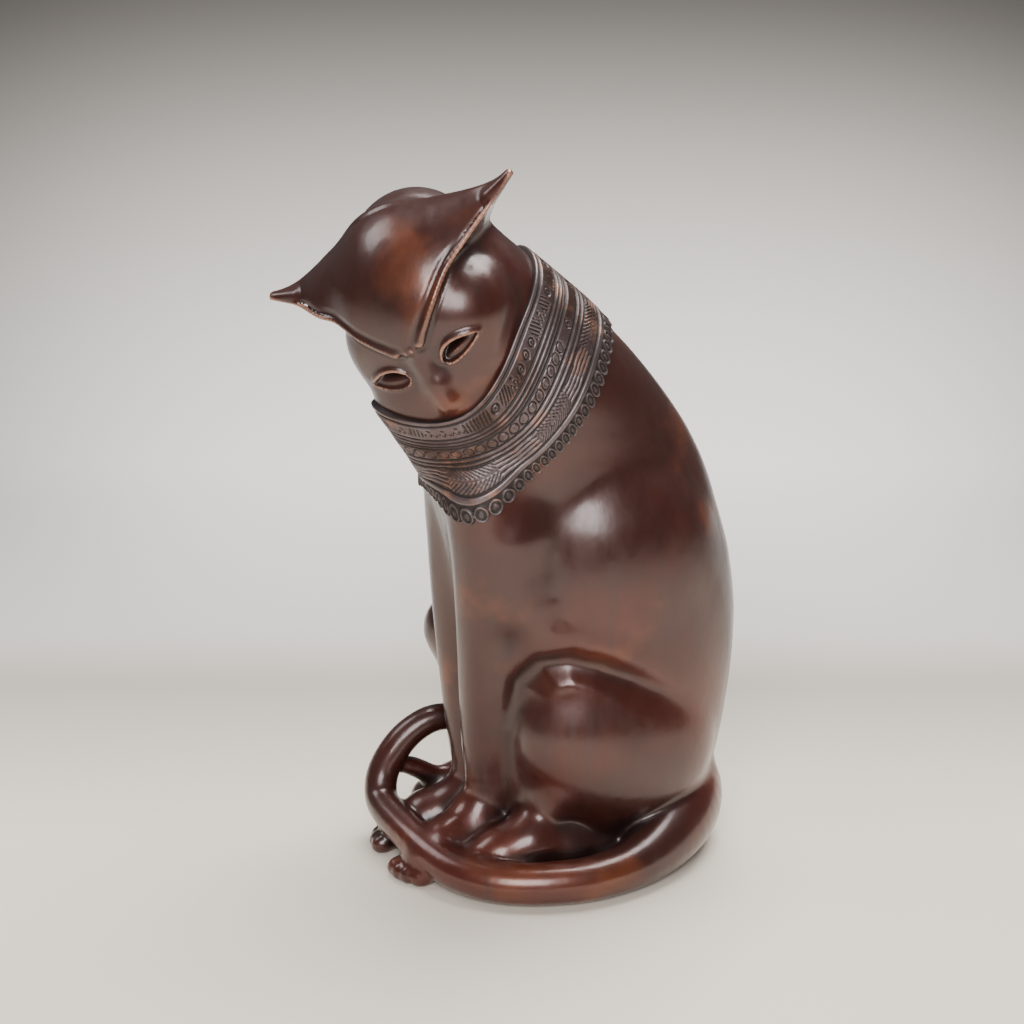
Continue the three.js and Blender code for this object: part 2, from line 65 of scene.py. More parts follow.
SHOULDER = [[17, -40, 198, 16], [22, -33, 175, 17], [24, -30, 145, 16]]
FORELEG = [
    [20, -44, 190, 14],
    [20, -43, 168, 14.5],
    [19, -43, 135, 13.5],
    [16, -42, 100, 12.5],
    [12.5, -41, 68, 11.3],
    [10, -39.5, 40, 10.2],
    [10.5, -44, 22, 11],
]
FOREPAW = [[11, -46, 20, 14], [15, -61, 13.5, 13.5], [18, -75, 7, 10]]
HIND_FOOT = [[37, -52, 12, 11], [36.5, -40, 15, 13], [37, -26, 19, 14], [39, -8, 15, 12.5], [42, 8, 9, 10]]
SHIN = [[34, -24, 24, 9], [36, -12, 44, 9]]
THIGH = dict(centre=(34, 20, 63), radii=(25, 50, 40), tilt=-26)
RIGHT_KNEE = [[-38, 0, 84, 21], [-43, -34, 102, 17], [-42, -30, 84, 15.5]]
TOES = [
    dict(first=(12, -90), last=(26, -83), count=4, radius=5, lift=4),
    dict(first=(-27, -84), last=(-13, -90.5), count=4, radius=5, lift=4),
]
TAIL = [
    [-4, 54, 27, 29], [18, 57, 24.5, 25.5], [37, 50, 20, 20.5], [52, 36, 15, 15.5], [62.5, 17, 11.8, 12.2],
    [67, -5, 10.8, 10.8], [65, -23, 10.5, 10.5], [59.5, -40, 10.3, 10.2], [51, -54, 10.6, 9.9],
    [38, -65, 11.5, 9.6], [22, -72, 13.5, 9.2], [4, -77, 16, 8.9], [-14, -80.5, 18, 8.6],
    [-28, -81.5, 21, 8.3], [-35, -79, 30, 8.1], [-36.5, -73, 41, 7.8], [-37, -64, 50.5, 7.4],
    [-36.5, -53, 56.5, 7], [-36, -42, 56.5, 6.7], [-35, -34.5, 50, 6.4], [-34.5, -31.5, 40, 6.2],
    [-34.5, -34, 30.5, 5.9], [-34.5, -42, 24.5, 5.6], [-35, -51, 25.5, 5.3], [-35.5, -61, 31.5, 5],
    [-35.5, -66, 34, 4.6],
]
FLANK_LINES = [
    (14, [[-34, 78, 0], [-36, 90, 1.0], [-36, 100, 1.3], [-33, 112, 1.4], [-25, 123, 1.5], [-16, 127, 1.5], [0, 124, 1.3], [18, 116, 1.0], [34, 105, 0.5], [48, 93, 0]]),
    (11.5, [[-30, 76, 0], [-30, 88, -2.4], [-28, 101, -4.4], [-20, 112, -5.2], [-8, 115, -5.4], [6, 111, -5.2], [20, 103, -4.6], [34, 93, -3.2], [48, 80, -1.6], [58, 68, 0]]),
    (13, [[-22, 205, 0], [-20, 175, -2], [-19, 150, -2.4], [-21, 132, 0]]),
]
HEAD = dict(centre=(0.2, -60, 280), turn=61.8, nod=24.3, roll=33.5)
SKULL = dict(centre=(0, -17, 17), radii=(31.5, 41, 34.5))
FACE = dict(centre=(0, 4, 4), radii=(43, 31, 32))
CHEEK = [[23, 12, 0, 15.5], [16, 19, -14, 14]]
MUZZLE = [[0, 22, -8, 13], [6, 25, -17, 12.5]]
CHIN = [[0, 26, -14, 12], [0, 29, -27, 9]]
NOSE = [[0, 30, 3, 5], [0, 36.2, -11, 5], [0, 39, -20, 4.8]]
# Sections of the hood across the head: distance from the middle, then the brow rim, the top edge and the
# lower edge (forward, up), and how far the hood bulges over the line from rim to top
HOOD = np.array([
    [0, 34, 10.5, -18, 50, -20, -10, 11],
    [7, 33, 11.5, -18.5, 49.8, -21, -9, 10.8],
    [20, 26, 20.5, -20, 47.5, -24, 0, 8.5],
    [31, 16.5, 27, -20, 44.8, -22, 8, 5.5],
    [43, 7, 31.5, -19.5, 41.6, -20, 18.5, 2.6],
    [54, -4.5, 33.6, -19.3, 39.4, -19.5, 27, 1],
    [63, -10.5, 36.2, -18.6, 39.4, -18.5, 32, 0.3],
    [71, -14.5, 39.2, -17.5, 40.4, -17, 37, 0],
], float)
EAR_ROUND = 2.2
EAR_TIP = [[57, -11.5, 35.2, 3.2], [69.4, -15.1, 38.9, 1.3]]
BROW = [[6.5, 34, 11], [11, 32, 14.8], [17.5, 28, 19.8], [25, 21.5, 24.8], [33, 14.5, 28.6], [43, 7, 31.8], [54, -4.5, 33.6], [62, -10.5, 35.8], [69, -14.2, 38.8]]
BROW_RADIUS = (1.9, 0.7)
EYE = dict(inner=(9.8, -2.8), outer=(30.2, -0.8), rise=5.4, drop=3.6, hollow=5.0, sink=1.3, upper_lid=1.7, lower_lid=0.8)


def clamp(t):
    return np.clip(t, 0, 1)

def bell(t):
    return np.where(t < 1, (1 - t * t) ** 2, 0)

def ease(t):
    t = clamp(t)
    return t * t * (3 - 2 * t)

def join(a, b, k):
    h = np.maximum(k - np.abs(a - b), 0) / k
    return np.minimum(a, b) - h * h * k / 4

def carve(a, b, k):
    return -join(-a, b, k)

def taper(x, y, z, a, b):
    """Distance to the round cone that spans two balls."""
    dx, dy, dz = b[0] - a[0], b[1] - a[1], b[2] - a[2]
    long = dx * dx + dy * dy + dz * dz
    slope = (b[3] - a[3]) / np.sqrt(long)
    px, py, pz = x - a[0], y - a[1], z - a[2]
    h = (px * dx + py * dy + pz * dz) / long
    off = np.sqrt(np.maximum(px * px + py * py + pz * pz - h * h * long, 0))
    t = clamp(h + slope * off / np.sqrt(long * max(1 - slope * slope, 0.05)))
    return np.sqrt(off * off + (h - t) ** 2 * long) - (a[3] + (b[3] - a[3]) * t)

FAR = 30.0

def near_box(x, y, z, low, high):
    return ((x > low[0]) & (x < high[0]) & (y > low[1]) & (y < high[1]) & (z > low[2]) & (z < high[2]))

def chain(x, y, z, balls, k=2):
    B = np.array(balls, float)
    r = B[:, 3:4]
    low, high = (B[:, :3] - r).min(0) - FAR, (B[:, :3] + r).max(0) + FAR
    on = near_box(x, y, z, low, high)
    out = np.full(x.shape, FAR)
    if not on.any():
        return out
    x, y, z = x[on], y[on], z[on]
    d = taper(x, y, z, balls[0], balls[1])
    for a, b in zip(balls[1:], balls[2:]):
        d = join(d, taper(x, y, z, a, b), k) if k else np.minimum(d, taper(x, y, z, a, b))
    out[on] = np.minimum(d, FAR)
    return out

def smooth_rows(rows, per):
    R = np.array(rows, float)
    out = []
    for i in range(len(R) - 1):
        a, b, c, d = R[max(i - 1, 0)], R[i], R[i + 1], R[min(i + 2, len(R) - 1)]
        for n in range(per):
            t = n / per
            out.append(0.5 * (2 * b + (c - a) * t + (2 * a - 5 * b + 4 * c - d) * t * t + (3 * b - a - 3 * c + d) * t ** 3))
    out.append(R[-1])
    return out

def ellipsoid(x, y, z, centre, radii, tilt=0):
    c, s = np.cos(np.radians(tilt)), np.sin(np.radians(tilt))
    px = x - centre[0]
    py = (y - centre[1]) * c + (z - centre[2]) * s
    pz = (z - centre[2]) * c - (y - centre[1]) * s
    near = np.sqrt((px / radii[0]) ** 2 + (py / radii[1]) ** 2 + (pz / radii[2]) ** 2)
    slope = np.sqrt((px / radii[0] ** 2) ** 2 + (py / radii[1] ** 2) ** 2 + (pz / radii[2] ** 2) ** 2)
    return near * (near - 1) / np.maximum(slope, 1e-9)

def rows_at(table, at):
    """The table's values at the given places, on a smooth curve through its rows."""
    i = np.clip(np.searchsorted(table[:, 0], at, side="right") - 1, 0, len(table) - 2)
    a, b, c, d = table[np.maximum(i - 1, 0)], table[i], table[i + 1], table[np.minimum(i + 2, len(table) - 1)]
    span = (c[:, 0] - b[:, 0])[:, None]
    t = clamp((at - b[:, 0])[:, None] / span)
    value, following = b[:, 1:], c[:, 1:]
    slope_b = (following - a[:, 1:]) / (c[:, :1] - a[:, :1]) * span
    slope_c = (d[:, 1:] - value) / (d[:, :1] - b[:, :1]) * span
    bend = (1 - t) * slope_b - t * slope_c + (1 - 2 * t) * (value - following)
    return (value + (following - value) * t + t * (1 - t) * bend).T

TAIL_BALLS = smooth_rows(TAIL, 4)
FORELEG_BALLS = smooth_rows(FORELEG, 4)

def trunk(x, y, z):
    front, back, half, power, egg = rows_at(TRUNK, z)
    depth = (back - front) / 2
    along = (y - (front + back) / 2) / depth
    across = np.abs(x / (half * (1 + egg * np.clip(along, -1, 1)))) ** power + np.abs(along) ** power
    return np.maximum((across ** (1 / power) - 1) * np.minimum(half, depth) * 0.85, z - TRUNK_TOP)

def flank_line(y, z, width, points):
    best = np.full(y.shape, np.inf)
    rise = np.zeros(y.shape)
    for (ay, az, ah), (by, bz, bh) in zip(points, points[1:]):
        dy, dz = by - ay, bz - az
        t = clamp(((y - ay) * dy + (z - az) * dz) / (dy * dy + dz * dz))
        far = np.hypot(y - ay - dy * t, z - az - dz * t)
        rise = np.where(far < best, ah + (bh - ah) * t, rise)
        best = np.minimum(best, far)
    return rise * bell(best / width)

def flank_relief(ax, y, z):
    height = 0
    for width, points in FLANK_LINES:
        height = height + flank_line(y, z, width, points)
    return height * ease((ax - 12) / 16)

def toes(x, y, z):
    d = np.full(x.shape, np.inf)
    for t in TOES:
        for i in range(t["count"]):
            s = i / (t["count"] - 1)
            spread = float(bell(np.array(abs(2 * s - 1) * 0.9))) * 2
            ax = t["first"][0] + (t["last"][0] - t["first"][0]) * s
            ay = t["first"][1] + (t["last"][1] - t["first"][1]) * s - spread
            d = np.minimum(d, np.sqrt((x - ax) ** 2 + ((y - ay - t["radius"]) * 0.8) ** 2 + (z - t["lift"]) ** 2) - t["radius"])
    return d

BELLY = dict(centre=(26, 26, 158), radii=(27, 42, 46))

def torso(x, y, z):
    ax = np.abs(x)
    d = join(trunk(x, y, z), ellipsoid(ax, y, z, **BELLY), 8) - flank_relief(ax, y, z)
    d = join(d, chain(ax, y, z, SHOULDER, 6), 14)
    return join(d, chain(ax, y, z, FORELEG_BALLS, 0), 7)

def lower_body(x, y, z):
    ax = np.abs(x)
    d = torso(x, y, z)
    d = join(d, ellipsoid(ax, y, z, **THIGH), 7)
    d = join(d, chain(x, y, z, RIGHT_KNEE, 6), 7)
    d = join(d, chain(ax, y, z, SHIN, 4), 8)
    d = join(d, chain(ax, y, z, HIND_FOOT, 5), 5)
    d = join(d, chain(ax, y, z, FOREPAW, 4), 7)
    d = join(d, toes(x, y, z), 2)
    return join(d, chain(x, y, z, TAIL_BALLS, 0), 4)

def head_axes(turn, nod, roll, **_):
    t, n, r = np.radians([turn, nod, roll])
    f = np.array([np.sin(t) * np.cos(n), -np.cos(t) * np.cos(n), -np.sin(n)])
    level = np.array([np.cos(t), np.sin(t), 0])
    left = level * np.cos(r) + np.cross(f, level) * np.sin(r)
    return np.stack([left, f, np.cross(f, left)])

AXES = head_axes(**HEAD)

def to_head(x, y, z):
    c = HEAD["centre"]
    return [a[0] * (x - c[0]) + a[1] * (y - c[1]) + a[2] * (z - c[2]) for a in AXES]

def brow_height(al):
    ls = [b[0] for b in BROW]; us = [b[2] for b in BROW]
    s0 = (us[1] - us[0]) / (ls[1] - ls[0])
    return np.where(al < ls[0], us[0] - (ls[0] - al) * s0, np.interp(al, ls, us))

def hood(al, f, u):
    """The hood and the ears: rounded three-sided sections, set out across the head."""
    rim_f, rim_u, top_f, top_u, low_f, low_u, bulge = rows_at(HOOD, al)
    corners = [(rim_f, rim_u), (top_f, top_u), (low_f, low_u)]
    size = np.hypot(top_f - low_f, top_u - low_u)
    k = np.minimum(EAR_ROUND, 0.25 * size) + 0.3
    out = np.full(al.shape, -99.0)
    for n in range(3):
        (af, au), (bf, bu) = corners[n], corners[(n + 1) % 3]
        df, du = bf - af, bu - au
        length = np.maximum(np.hypot(df, du), 0.3)
        side = ((f - af) * du - (u - au) * df) / length
        if n == 0:
            t = clamp(((f - af) * df + (u - au) * du) / length ** 2)
            side = side - bulge * 4 * t * (1 - t)
        out = -join(-out, -side, k)
    return np.maximum(out * 0.85, al - HOOD[-1, 0])

def head_shell(al, f, u):
    d = ellipsoid(al, f, u, **SKULL)
    face = join(ellipsoid(al, f, u, **FACE), chain(al, f, u, CHEEK, 6), 12)
    d = join(d, face, 10)
    d = join(d, chain(al, f, u, MUZZLE, 4), 8)
    d = join(d, chain(al, f, u, CHIN, 4), 6)
    d = join(d, join(hood(al, f, u), chain(al, f, u, EAR_TIP), 3), 8)
    d = d + 1.2 * ease((brow_height(al) - u) / 6 + 0.5) * ease((f + 12) / 8)
    return join(d, chain(al, f, u, NOSE), 5)

def onto(field, p, steps=6, h=0.2):
    p = np.array(p, float)
    for _ in range(steps):
        d = field(*p.T)
        g = np.stack([(field(*(p + h * np.eye(3)[k]).T) - d) / h for k in range(3)], 1)
        p = p - (d / (g ** 2).sum(1))[:, None] * g
    return p

def brow_balls():
    P = np.array(smooth_rows(BROW, 5))
    snapped = onto(head_shell, P)
    keep = ease((P[:, :1] - 28) / 14)
    P = snapped + (P - snapped) * keep
    n = len(P)
    r = [BROW_RADIUS[0] + (BROW_RADIUS[1] - BROW_RADIUS[0]) * (i / (n - 1)) ** 0.6 for i in range(n)]
    g = gradient(head_shell, P, 0.4)
    g /= np.linalg.norm(g, axis=1, keepdims=True)
    return [[*(P[i] - g[i] * r[i] * 0.35 * (1 - keep[i, 0])), r[i]] for i in range(n)]

def gradient(field, p, h=0.3):
    e = np.eye(3) * h
    return np.stack([(field(*(p + e[k]).T) - field(*(p - e[k]).T)) / (2 * h) for k in range(3)], 1)

BROW_BALLS = brow_balls()

def eye_relief(al, f, u):
    (l0, u0), (l1, u1) = EYE["inner"], EYE["outer"]
    t = (al - l0) / (l1 - l0)
    on = (t > -0.15) & (t < 1.15) & (f > 10) & (np.abs(u) < 16)
    out = np.zeros(al.shape)
    if not on.any():
        return out
    t, off = t[on], u[on] - (u0 + (u1 - u0) * t[on])
    tc = np.clip(t, 0.001, 0.999)
    top = EYE["rise"] * np.sin(np.pi * tc ** 0.75) ** 0.75
    low = EYE["drop"] * np.sin(np.pi * tc ** 0.6) ** 0.7
    ends = ease(t / 0.12 + 0.9) * ease((1 - t) / 0.12 + 0.9)
    inside = ease((top - off) / 1.4) * ease((off + low) / 1.2) * (t > 0) * (t < 1)
    s = (top - off) / (top + low + 0.5)
    hole = bell(np.abs(s - 0.22) / 0.42) * bell(np.abs(t - 0.36) / 0.5)
    sink = inside * (EYE["sink"] + EYE["hollow"] * hole)
    upper = EYE["upper_lid"] * bell(np.abs(off - top - 0.9) / 2.6) * ease(t / 0.3 + 0.6) * ease((1 - t) / 0.3 + 0.5)
    lower = EYE["lower_lid"] * bell(np.abs(off + low + 0.2) / 1.5) * ends
    out[on] = sink - (upper + lower) * (1 - 0.7 * inside)
    return out

def head(x, y, z):
    l, f, u = to_head(x, y, z)
    al = np.abs(l)
    d = head_shell(al, f, u)
    d = d + eye_relief(al, f, u)
    brow = chain(al, f, u, BROW_BALLS, 0.5)
    d = d + 0.6 * bell(np.abs(brow - 1.6) / 2.2) * ease((42 - al) / 10)
    return join(d, brow, 1.0)

def cat(x, y, z):
    d = join(lower_body(x, y, z), head(x, y, z), 6)
    return np.maximum(d, -z)

def skin(field, low, high, cell, coarse=4, margin=1.9):
    low = np.array(low, float); n = (np.ceil((np.array(high) - low) / cell)).astype(int)
    n = (n // coarse + 1) * coarse + 1
    ax = [low[k] + cell * np.arange(n[k]) for k in range(3)]
    cx, cy, cz = np.meshgrid(*[a[coarse // 2::coarse] for a in ax], indexing="ij")
    cd = field(cx.ravel(), cy.ravel(), cz.ravel()).reshape(cx.shape)
    near = np.abs(cd) < coarse * cell * 0.87 * margin
    up = lambda a: np.repeat(np.repeat(np.repeat(a, coarse, 0), coarse, 1), coarse, 2)
    vals = np.empty(n, np.float32); band = np.zeros(n, bool)
    u = up(cd); m = tuple(slice(0, min(u.shape[k], n[k])) for k in range(3))
    vals[...] = 99
    vals[m] = u[m]; b = up(near)
    band[m] = b[m]
    # the last layer of nodes closes the blocks
    band[1:] |= band[:-1]; band[:, 1:] |= band[:, :-1]; band[:, :, 1:] |= band[:, :, :-1]
    ids = np.flatnonzero(band.ravel())
    out = np.empty(len(ids), np.float32)
    for s in range(0, len(ids), 400000):
        part = ids[s:s + 400000]
        i, j, k = np.unravel_index(part, n)
        out[s:s + 400000] = field(ax[0][i], ax[1][j], ax[2][k])
    vals.ravel()[ids] = out
    inside = vals < 0
    # crossings on the edges along each axis
    cells = np.array(n) - 1
    count = np.zeros(cells.prod(), np.int32)
    total = np.zeros((cells.prod(), 3))
    quads = []
    stride = np.array([cells[1] * cells[2], cells[2], 1])
    for a in range(3):
        lo = [slice(None)] * 3; hi = [slice(None)] * 3
        lo[a] = slice(0, -1); hi[a] = slice(1, None)
        lo, hi = tuple(lo), tuple(hi)
        cross = inside[lo] != inside[hi]
        i = np.stack(np.nonzero(cross), 1)
        v0 = vals[lo][cross]; v1 = vals[hi][cross]
        t = v0 / (v0 - v1)
        p = i.astype(float); p[:, a] += t
        b, c = [k for k in range(3) if k != a]
        corner = []
        for db in (0, -1):
            for dc in (0, -1):
                q = i.copy(); q[:, b] += db; q[:, c] += dc
                cid = (q * stride).sum(1)
                np.add.at(count, cid, 1)
                np.add.at(total, cid, p)
                corner.append(cid)
        q = np.stack([corner[0], corner[1], corner[3], corner[2]], 1)
        flip = (inside[lo][cross]) ^ (a == 1)
        q[flip] = q[flip][:, ::-1]
        quads.append(q)
    quads = np.concatenate(quads)
    used = np.flatnonzero(count)
    where = np.full(cells.prod(), -1); where[used] = np.arange(len(used))
    pts = low + cell * total[used] / count[used][:, None]
    return pts, where[quads]

def snap(field, p, steps=3, limit=1.0):
    for _ in range(steps):
        d = field(*p.T); g = gradient(field, p)
        move = -(d / np.maximum((g ** 2).sum(1), 0.05))[:, None] * g
        m = np.linalg.norm(move, axis=1, keepdims=True)
        p = p + move * np.minimum(1, limit / np.maximum(m, 1e-9))
    return p

# Meshes of the body and the head, which meet under the collar
BOX_LOW = (-68, -130, -4)
BOX_HIGH = (86, 104, 358)
BODY_CELL = 1.7
HEAD_CELL = 0.9
NECK_CUT = dict(front=(-70, 213), back=(5, 286), overlap=2.0)


def above_neck_cut(y, z):
    """How far a point lies on the head's side of the plane that parts head and body."""
    (y0, z0), (y1, z1) = NECK_CUT["front"], NECK_CUT["back"]
    length = math.hypot(y1 - y0, z1 - z0)
    return ((z - z0) * (y1 - y0) - (y - y0) * (z1 - z0)) / length


def body_field(x, y, z):
    return np.maximum(cat(x, y, z), above_neck_cut(y, z) - NECK_CUT["overlap"])


def head_field(x, y, z):
    return np.maximum(cat(x, y, z), -above_neck_cut(y, z) - NECK_CUT["overlap"])


def mesh_object(name, points, faces):
    mesh = bpy.data.meshes.new(name)
    mesh.vertices.add(len(points))
    mesh.vertices.foreach_set("co", (points * MM).ravel())
    mesh.loops.add(faces.size)
    mesh.loops.foreach_set("vertex_index", faces.ravel().astype(np.int32))
    mesh.polygons.add(len(faces))
    mesh.polygons.foreach_set("loop_start", np.arange(0, faces.size, faces.shape[1], dtype=np.int32))
    mesh.update(calc_edges=True)
    mesh.validate()
    mesh.polygons.foreach_set("use_smooth", np.ones(len(mesh.polygons), bool))
    piece = bpy.data.objects.new(name, mesh)
    bpy.context.scene.collection.objects.link(piece)
    return piece


def attribute(piece, name, values, kind="FLOAT"):
    layer = piece.data.attributes.new(name, kind, "POINT")
    layer.data.foreach_set("vector" if kind == "FLOAT_VECTOR" else "value", np.ascontiguousarray(values, np.float32).ravel())


def bend_of(points, normals, edges, rounds):
    """How convex the skin is at each point, per millimetre, spread over some rounds of neighbours."""
    a, b = edges.T
    step = points[b] - points[a]
    turn = ((normals[b] - normals[a]) * step).sum(1) / np.maximum((step ** 2).sum(1), 1e-6)
    count = np.bincount(a, minlength=len(points)) + np.bincount(b, minlength=len(points))
    count = np.maximum(count, 1)
    bend = (np.bincount(a, turn, len(points)) + np.bincount(b, turn, len(points))) / count
    for _ in range(rounds):
        bend = 0.5 * bend + 0.5 * (np.bincount(a, bend[b], len(points)) + np.bincount(b, bend[a], len(points))) / count
    return bend


def edges_of(piece):
    edges = np.empty(len(piece.data.edges) * 2, np.int32)
    piece.data.edges.foreach_get("vertices", edges)
    return edges.reshape(-1, 2)


def occlusion(points, normals, field, reaches=(5, 14)):
    """How closely the cat's own shape closes in on the skin: 0 where it lies open, towards 1 deep in a crease. The
    bronze's colour darkens with it as painted shade.
    """
    total = 0
    for reach in reaches:
        total = total + 1 - clamp(field(*(points + normals * reach).T) / reach)
    return total / len(reaches)


def cast_piece(name, field, cell):
    points, faces = skin(field, BOX_LOW, BOX_HIGH, cell)
    points = snap(field, points, 2, cell * 0.7)
    piece = mesh_object(name, points, faces)
    normals = gradient(cat, points, 0.5)
    normals /= np.maximum(np.linalg.norm(normals, axis=1, keepdims=True), 1e-6)
    edges = edges_of(piece)
    attribute(piece, "fine_bend", bend_of(points, normals, edges, 1))
    attribute(piece, "broad_bend", bend_of(points, normals, edges, 14))
    # Occlusion by the cat's own shape, which the bronze's colour turns into painted shade
    attribute(piece, "occlusion", occlusion(points, normals, cat))
    place = np.stack(to_head(*points.T), 1)
    attribute(piece, "head_place", place, "FLOAT_VECTOR")
    return piece


# The collar: its edges on the neck and how it is divided
COLLAR = dict(
    inner=dict(front=(-86, 242), side=(37, -40, 258), back=(-15, 307), sag=18),
    outer=dict(front=(-65, 190), side=(50, -10, 213), back=(26, 270), sag=10),
    thickness=1.6,
    sink=5,
    columns=720,
    rows=112,
)


def collar_place(edge, turn):
    s, c = np.sin(turn * 2 * np.pi), np.cos(turn * 2 * np.pi)
    front, side, back = edge["front"], edge["side"], edge["back"]
    middle = [(front[0] + back[0]) / 2, (front[1] + back[1]) / 2]
    y = middle[0] + (front[0] - back[0]) / 2 * c + (side[1] - middle[0]) * s * s
    z = middle[1] + (front[1] - back[1]) / 2 * c + (side[2] - middle[1] - edge["sag"] * c) * s * s
    return np.stack([side[0] * s, y, z], -1)


def collar_feet(turn, down):
    """Points on the torso under the collar, and the way out from each."""
    a, b = collar_place(COLLAR["inner"], turn), collar_place(COLLAR["outer"], turn)
    toward = a + (b - a) * down[..., None]
    middles = [[(COLLAR[e]["front"][k] + COLLAR[e]["back"][k]) / 2 for k in (0, 1)] for e in ("inner", "outer")]
    start = np.zeros_like(toward)
    start[..., 1] = middles[0][0] + (middles[1][0] - middles[0][0]) * down
    start[..., 2] = middles[0][1] + (middles[1][1] - middles[0][1]) * down
    ray = toward - start
    inside, outside = np.zeros(down.shape), np.full(down.shape, 2.5)
    for _ in range(16):
        t = (inside + outside) / 2
        p = start + ray * t[..., None]
        within = torso(p[..., 0].ravel(), p[..., 1].ravel(), p[..., 2].ravel()).reshape(t.shape) < 0
        inside, outside = np.where(within, t, inside), np.where(within, outside, t)
    feet = start + ray * inside[..., None]
    out = gradient(torso, feet.reshape(-1, 3), 0.8).reshape(feet.shape)
    return feet, out / np.linalg.norm(out, axis=-1, keepdims=True)


def collar_piece():
    columns, rows = COLLAR["columns"], COLLAR["rows"]
    # Turns spaced evenly along the middle of the band
    fine = np.linspace(0, 1, 4 * columns + 1)
    middle, _ = collar_feet(fine, np.full(fine.shape, 0.6))
    travel = np.concatenate([[0], np.cumsum(np.linalg.norm(np.diff(middle, axis=0), axis=1))])
    around = np.arange(columns) / columns
    turn = np.interp(around * travel[-1], travel, fine)
    down = np.linspace(0, 1, rows)
    T, D = np.meshgrid(turn, down, indexing="ij")
    feet, out = collar_feet(T, D)
    girth = np.linalg.norm(np.roll(feet, -1, 0) - feet, axis=2).sum(0)
    width = np.linalg.norm(np.diff(feet, axis=1), axis=2).sum(1)
    under = [rows - 1, rows // 2, 0]
    top = feet + out * COLLAR["thickness"]
    low = feet[:, under] - out[:, under] * COLLAR["sink"]
    points = np.concatenate([top, low], 1)
    per = rows + len(under)
    i, j = np.meshgrid(np.arange(columns), np.arange(per), indexing="ij")
    right, below = (i + 1) % columns, (j + 1) % per
    faces = np.stack([i * per + j, i * per + below, right * per + below, right * per + j], -1).reshape(-1, 4)
    piece = mesh_object("collar", points.reshape(-1, 3), faces)
    full = lambda top_values, low_values: np.concatenate([top_values, low_values], 1).ravel()
    A = np.repeat(around[:, None], rows, 1)
    attribute(piece, "around", full(A, A[:, under]))
    attribute(piece, "down", full(D, D[:, under]))
    G = np.repeat(girth[None, :], columns, 0)
    W = np.repeat(width[:, None], rows, 1)
    attribute(piece, "girth", full(G, G[:, under]))
    attribute(piece, "width", full(W, W[:, under]))
    attribute(piece, "on_top", full(np.ones_like(D), np.zeros((columns, len(under)))))
    attribute(piece, "out", np.concatenate([out, out[:, under]], 1).reshape(-1, 3), "FLOAT_VECTOR")
    return piece


class Wire:
    """A number in a node tree, which takes part in sums as a plain number does."""

    def __init__(self, tree, socket):
        self.tree = tree
        self.socket = socket

    def math(self, operation, *others):
        node = self.tree.nodes.new("ShaderNodeMath")
        node.operation = operation
        for socket, value in zip(node.inputs, (self, *others)):
            if isinstance(value, Wire):
                self.tree.links.new(value.socket, socket)
            else:
                socket.default_value = value
        return Wire(self.tree, node.outputs[0])

    def __add__(self, other):
        return self.math("ADD", other)

    def __sub__(self, other):
        return self.math("SUBTRACT", other)

    def __rsub__(self, other):
        return (self * -1) + other

    def __mul__(self, other):
        return self.math("MULTIPLY", other)

    def __truediv__(self, other):
        return self.math("DIVIDE", other)

    __radd__ = __add__
    __rmul__ = __mul__

    def rise(self, start, end):
        """0 below start, 1 above end and a smooth step between."""
        node = self.tree.nodes.new("ShaderNodeMapRange")
        node.interpolation_type = "SMOOTHSTEP"
        self.tree.links.new(self.socket, node.inputs["Value"])
        for name, value in (("From Min", start), ("From Max", end)):
            if isinstance(value, Wire):
                self.tree.links.new(value.socket, node.inputs[name])
            else:
                node.inputs[name].default_value = value
        return Wire(self.tree, node.outputs["Result"])

    def band(self, start, end, soft):
        """1 between start and end, 0 outside, with soft steps inside the band."""
        return self.rise(start, start + soft) * (1 - self.rise(end - soft, end))

    def groove(self, centre, half):
        """1 on the centre, falling to 0 half a width away."""
        return 1 - (self - centre).math("ABSOLUTE").rise(half * 0.35, half)

    def above(self, limit):
        return self.math("GREATER_THAN", limit)

    def larger(self, other):
        return self.math("MAXIMUM", other)

    def smaller(self, other):
        return self.math("MINIMUM", other)

    def chance(self, seed):
        """A fixed random number from 0 to 1 for each whole value."""
        node = self.tree.nodes.new("ShaderNodeTexWhiteNoise")
        node.noise_dimensions = "2D"
        pair = self.tree.nodes.new("ShaderNodeCombineXYZ")
        self.tree.links.new(self.math("FLOOR").socket, pair.inputs[0])
        if isinstance(seed, Wire):
            self.tree.links.new(seed.socket, pair.inputs[1])
        else:
            pair.inputs[1].default_value = seed
        self.tree.links.new(pair.outputs[0], node.inputs["Vector"])
        return Wire(self.tree, node.outputs["Value"])


def length(a, b):
    return (a * a + b * b).math("SQRT")


# The registers of the collar, as shares of its width from the neck to the edge, and their reliefs in millimetres
REGISTERS = dict(
    rim=(0.0, 0.045),
    marks=(0.065, 0.235),
    ribs=((0.25, 0.285), (0.295, 0.33), (0.34, 0.36)),
    rings=(0.375, 0.5),
    broad_ribs=((0.515, 0.555), (0.57, 0.6)),
    lines=(0.615, 0.79),
    welt=(0.80, 0.855),
    drops=(0.865, 1.0),
)
RELIEF_INPUTS = [
    ("Marks", 46.0), ("Rings", 50.0), ("Panels", 13.0), ("Drops", 58.0),
    ("Plate height", 0.9), ("Cut depth", 0.8), ("Ring radius", 2.3), ("Ring cut", 0.42), ("Seed", 3.0),
]


